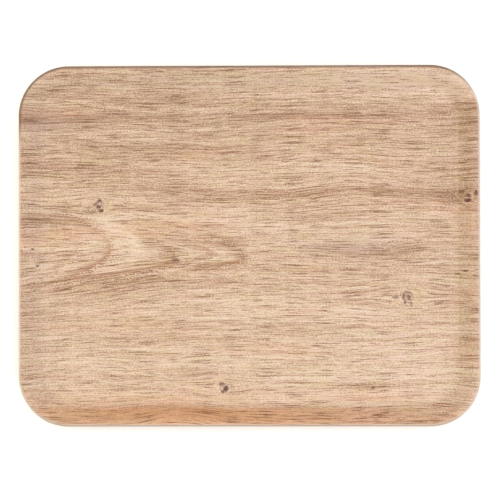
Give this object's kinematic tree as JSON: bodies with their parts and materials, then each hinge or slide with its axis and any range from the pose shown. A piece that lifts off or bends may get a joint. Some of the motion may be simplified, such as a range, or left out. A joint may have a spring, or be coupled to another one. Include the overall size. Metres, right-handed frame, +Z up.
{
  "type": "serving tray",
  "caption": "Rectangular serving tray with rounded corners and a low flared rim, pressed from bonded birch veneers under an oak-print face.",
  "frame": {"origin": "centre of the underside of the floor, on the plane that the tray stands on", "axes": "+X along the long side, +Y along the short side, +Z up out of the serving face"},
  "size_m": [0.46, 0.36, 0.02],
  "materials": {
    "melamine_film": "clear satin wear film over the print",
    "oak_print": "light oak wood print with fine pores, bands and small knots, melamine-impregnated paper",
    "long_birch": "birch veneer, grain along the tray",
    "cross_birch": "birch veneer, grain across the tray",
    "plain_backing": "plain matt balancing sheet in a light wood tone, melamine-impregnated paper",
    "edge_lacquer": "clear satin lacquer over the trimmed veneers"
  },
  "bodies": {
    "root": {"overlay_film": "melamine_film", "decor_sheet": "oak_print", "core_ply_1": "long_birch", "core_ply_2": "cross_birch", "core_ply_3": "long_birch", "core_ply_4": "cross_birch", "core_ply_5": "long_birch", "backing_sheet": "plain_backing", "edge_seal": "edge_lacquer"}
  },
  "joints": []
}
